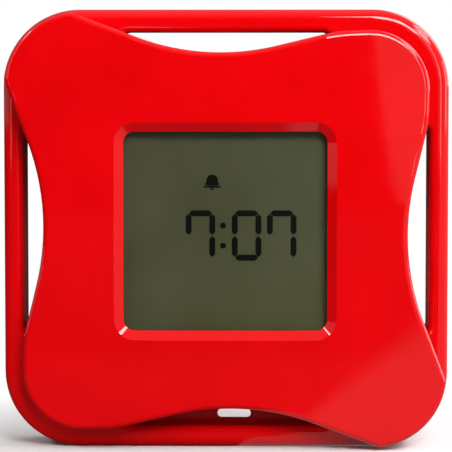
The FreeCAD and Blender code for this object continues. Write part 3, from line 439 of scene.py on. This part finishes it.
def numeral(left, lit):
    """Seven-bar numeral with the named bars lit."""
    half = SEGMENT_WIDTH / 2
    right = left + DIGIT_WIDTH - half
    middle_x = left + DIGIT_WIDTH / 2
    left = left + half
    top = DIGIT_MIDDLE + DIGIT_HEIGHT / 2 - half
    low = DIGIT_MIDDLE - DIGIT_HEIGHT / 2 + half
    across = right - left - 2 * SEGMENT_GAP + SEGMENT_OVERREACH
    tall = (top - low) / 2 - 2 * SEGMENT_GAP
    upper = (top + DIGIT_MIDDLE) / 2
    under = (low + DIGIT_MIDDLE) / 2
    bars = {
        "a": (middle_x, top, across, False),
        "b": (right, upper, tall, True),
        "c": (right, under, tall, True),
        "d": (middle_x, low, across, False),
        "e": (left, under, tall, True),
        "f": (left, upper, tall, True),
        "g": (middle_x, DIGIT_MIDDLE, across, False),
    }
    return [segment(*bars[key]) for key in lit]


def colon_dots():
    """Two round-cornered dots between the hours and the minutes."""
    dots = []
    for rise in COLON_RISES:
        centre = (COLON_MIDDLE, ink_middle(), DIGIT_MIDDLE + rise)
        dot = block("dot", centre, (DOT_WIDTH, SEGMENT_RISE, DOT_WIDTH))
        bevel_corners(dot, DOT_ROUNDING, 5)
        dots.append(dot)
    return dots


def display_numerals():
    """The time that the display shows."""
    pieces = []
    for left, lit in zip(DIGIT_LEFT_EDGES, ("abcf", "abcdef", "abcf")):
        pieces.extend(numeral(left, lit))
    pieces.extend(colon_dots())
    return joined("display_numerals", pieces)


def alarm_bell():
    """Small bell sign that stands for the alarm."""
    x, z = BELL_PLACE
    y = ink_middle()
    start_piece()
    bpy.ops.mesh.primitive_cylinder_add(
        vertices=BELL_SIDES,
        radius=BELL_SIZE,
        depth=SEGMENT_RISE,
        location=(x, y, z),
        rotation=(math.pi / 2, 0, 0),
    )
    dome = bpy.context.object
    settle(dome)
    bpy.ops.object.mode_set(mode="EDIT")
    bpy.ops.mesh.select_mode(type="VERT")
    bpy.ops.mesh.select_all(action="DESELECT")
    mesh = bmesh.from_edit_mesh(dome.data)
    for vertex in mesh.verts:
        vertex.select_set(vertex.co.z < z - SKIRT_START)
    bmesh.update_edit_mesh(dome.data)
    bpy.ops.transform.resize(value=(SKIRT_FLARE, 1.0, SKIRT_FLATNESS), center_override=(x, y, z))
    bpy.ops.transform.translate(value=(0, 0, -SKIRT_DROP))
    bpy.ops.object.mode_set(mode="OBJECT")
    rim = block("bell_rim", (x, y, z - RIM_DROP), (RIM_WIDTH, SEGMENT_RISE, RIM_HEIGHT))
    bevel_corners(rim, RIM_ROUNDING, 3)
    clapper_size = (CLAPPER_WIDTH, SEGMENT_RISE, RIM_HEIGHT)
    clapper = block("bell_clapper", (x, y, z - CLAPPER_DROP), clapper_size)
    bevel_corners(clapper, CLAPPER_ROUNDING, 3)
    return joined("display_bell", [dome, rim, clapper])


# Finishes of every carried node

def dress_nodes():
    """Give every carried node its finish."""
    red = glossy_red()
    pane = pane_finish()
    display = display_finish()
    milky = moulded("milky", (0.80, 0.80, 0.76), (0.86, 0.86, 0.82), (0.4, 0.5), 1200.0, 0.02 * MM)
    white = moulded("white_holder", (0.74, 0.74, 0.72), (0.80, 0.80, 0.78), (0.4, 0.55), 900.0, 0.03 * MM)
    board = moulded("board_green", (0.015, 0.12, 0.05), (0.03, 0.18, 0.08), (0.25, 0.4), 500.0, 0.04 * MM)
    resin = moulded(
        "black_resin", (0.010, 0.010, 0.011), (0.018, 0.018, 0.019), (0.15, 0.3), 700.0, 0.02 * MM)
    black = moulded(
        "black_plastic", (0.016, 0.016, 0.017), (0.028, 0.028, 0.030), (0.4, 0.55), 1400.0, 0.03 * MM)
    button = moulded(
        "button_black", (0.018, 0.018, 0.020), (0.030, 0.030, 0.032), (0.35, 0.5), 1800.0, 0.02 * MM)
    rubber = moulded(
        "strip_rubber", (0.45, 0.36, 0.36), (0.55, 0.45, 0.44), (0.6, 0.8), 1500.0, 0.03 * MM)
    red_wire = moulded("red_wire", (0.55, 0.02, 0.015), (0.65, 0.03, 0.02), (0.3, 0.45), 1500.0, 0.02 * MM)
    black_wire = moulded(
        "black_wire", (0.015, 0.015, 0.015), (0.03, 0.03, 0.03), (0.3, 0.45), 1500.0, 0.02 * MM)
    steel = metal("plated_steel", (0.50, 0.50, 0.51), (0.66, 0.66, 0.67), (0.22, 0.38), (1.0, 1.0, 0.15))
    brass = metal("buzzer_brass", (0.60, 0.42, 0.17), (0.74, 0.54, 0.25), (0.25, 0.4), (1.0, 1.0, 0.2))
    finishes = {
        "front_cover": red, "outer_frame": red, "rear_cover": red, "battery_door": red,
        "window_lens": pane, "display_glass": display, "light_guide": milky, "backlight_leds": milky,
        "display_holder": white, "circuit_board": board, "chip_blob": resin,
        "tilt_switches": black, "button_switches": black, "slide_switch": black,
        "set_button": button, "up_button": button, "down_button": button, "alarm_switch_knob": button,
        "contact_strips": rubber, "buzzer_disc": brass, "timing_crystal": steel,
        "battery_upper": sleeve_finish("sleeve_upper", -1), "battery_lower": sleeve_finish("sleeve_lower", 1),
        "battery_wire_upper": red_wire, "battery_wire_lower": black_wire,
        "buzzer_wire_left": black_wire, "buzzer_wire_right": red_wire,
    }
    for name, node in nodes.items():
        node.data.materials.clear()
        node.data.materials.append(finishes.get(name, steel))


# Floor, lamps and camera

def make_floor():
    """Broad pale floor that rises to a wall far behind."""
    start_piece()
    bpy.ops.mesh.primitive_plane_add(size=1.0, location=(0, FLOOR_MIDDLE, 0))
    floor = bpy.context.object
    floor.name = "floor"
    floor.scale = (FLOOR_WIDTH, FLOOR_DEPTH, 1.0)
    settle(floor)
    edit_edges(floor, lambda a, b: min(a.y, b.y) > JUST_BEFORE_WALL)
    bpy.ops.mesh.extrude_region_move(TRANSFORM_OT_translate={"value": (0, 0, WALL_HEIGHT)})
    bpy.ops.object.mode_set(mode="OBJECT")
    edit_edges(floor, lambda a, b: min(a.y, b.y) > JUST_BEFORE_WALL and max(a.z, b.z) < JUST_ABOVE_FLOOR)
    bpy.ops.mesh.bevel(offset=WALL_BEND, segments=WALL_BEND_STEPS, affect="EDGES")
    bpy.ops.object.mode_set(mode="OBJECT")
    floor.data.materials.append(floor_finish())


def lamp(name, place, size, power, height=None):
    """Soft lamp that points at the clock's middle, square unless a height is given."""
    light = bpy.data.lights.new(name, "AREA")
    light.energy = power
    light.size = size
    if height:
        light.shape = "RECTANGLE"
        light.size_y = height
    holder = bpy.data.objects.new(name, light)
    bpy.context.scene.collection.objects.link(holder)
    holder.location = place
    holder.rotation_mode = "QUATERNION"
    towards_clock = Vector((0, 0, CLOCK_MIDDLE)) - Vector(place)
    holder.rotation_quaternion = towards_clock.to_track_quat("-Z", "Y")


def make_lamps():
    """Soft studio light from the front, above, both sides and behind."""
    lamp("key_lamp", (0.40, -1.24, 0.95), 0.60, 18.5)
    lamp("right_front_panel", (0.59, -1.02, 0.45), 0.76, 1.0, 0.9)
    lamp("right_front_strip", (0.62, -0.92, 0.40), 0.12, 1.5, 0.8)
    lamp("left_front_strip", (-0.85, -0.80, 0.40), 0.12, 0.8, 0.8)
    lamp("upper_right_front_lamp", (0.60, -0.39, 0.60), 0.20, 2.2)
    lamp("upper_left_front_lamp", (-0.60, -0.38, 0.59), 0.12, 1.0)
    lamp("upper_right_lamp", (0.60, 0.02, 0.68), 0.20, 1.6)
    lamp("right_lamp", (0.85, 0.05, 0.20), 0.30, 0.9)
    lamp("back_lamp", (0.60, 0.60, 0.45), 0.80, 5.0)


def make_surroundings():
    """Even fill light and plain white behind. The gloss mirrors a room, dark behind the camera."""
    world = bpy.data.worlds.new("studio")
    world.use_nodes = True
    tree = world.node_tree
    direction = tree.nodes.new("ShaderNodeTexCoord").outputs["Generated"]
    behind_clock = graded(tree, coordinate(tree, direction, "Y"), DARK_ROOM_UNTIL, PALE_ROOM_FROM)
    mirrored = tones(tree, behind_clock, [(0.0, grey(DARK_ROOM)), (1.0, grey(PALE_ROOM))])
    rays = tree.nodes.new("ShaderNodeLightPath").outputs
    unseen = mixed(tree, rays["Is Glossy Ray"], grey(FILL_LIGHT), mirrored)
    shown = mixed(tree, rays["Is Camera Ray"], unseen, grey(1.0))
    tree.links.new(shown, tree.nodes["Background"].inputs["Color"])
    bpy.context.scene.world = world


def make_camera():
    """Camera a little above the clock's middle and a little to its right."""
    pitch = math.radians(CAMERA_PITCH)
    yaw = math.radians(CAMERA_YAW)
    back = Vector((math.sin(yaw) * math.cos(pitch), -math.cos(yaw) * math.cos(pitch), math.sin(pitch)))
    data = bpy.data.cameras.new("camera")
    data.sensor_width = SENSOR_WIDTH
    data.lens = SENSOR_WIDTH * CAMERA_DISTANCE / CAMERA_VIEW_WIDTH
    data.clip_start = 0.05
    camera = bpy.data.objects.new("camera", data)
    bpy.context.scene.collection.objects.link(camera)
    camera.location = Vector(CAMERA_TARGET) + back * CAMERA_DISTANCE
    camera.rotation_mode = "QUATERNION"
    camera.rotation_quaternion = (-back).to_track_quat("-Z", "Y")
    bpy.context.scene.camera = camera


def dress_display():
    """Numerals and bell sign on the display."""
    dark, light = (0.003, 0.004, 0.002), (0.006, 0.007, 0.004)
    ink = moulded("display_ink", dark, light, (0.3, 0.4), 1500.0, 0.01 * MM, specular=0.1)
    for piece in (display_numerals(), alarm_bell()):
        piece.data.materials.clear()
        piece.data.materials.append(ink)
        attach(piece, "case")


dress_nodes()
dress_display()
make_floor()
make_lamps()
make_surroundings()
make_camera()
bpy.context.scene.view_settings.view_transform = "Standard"
start_piece()
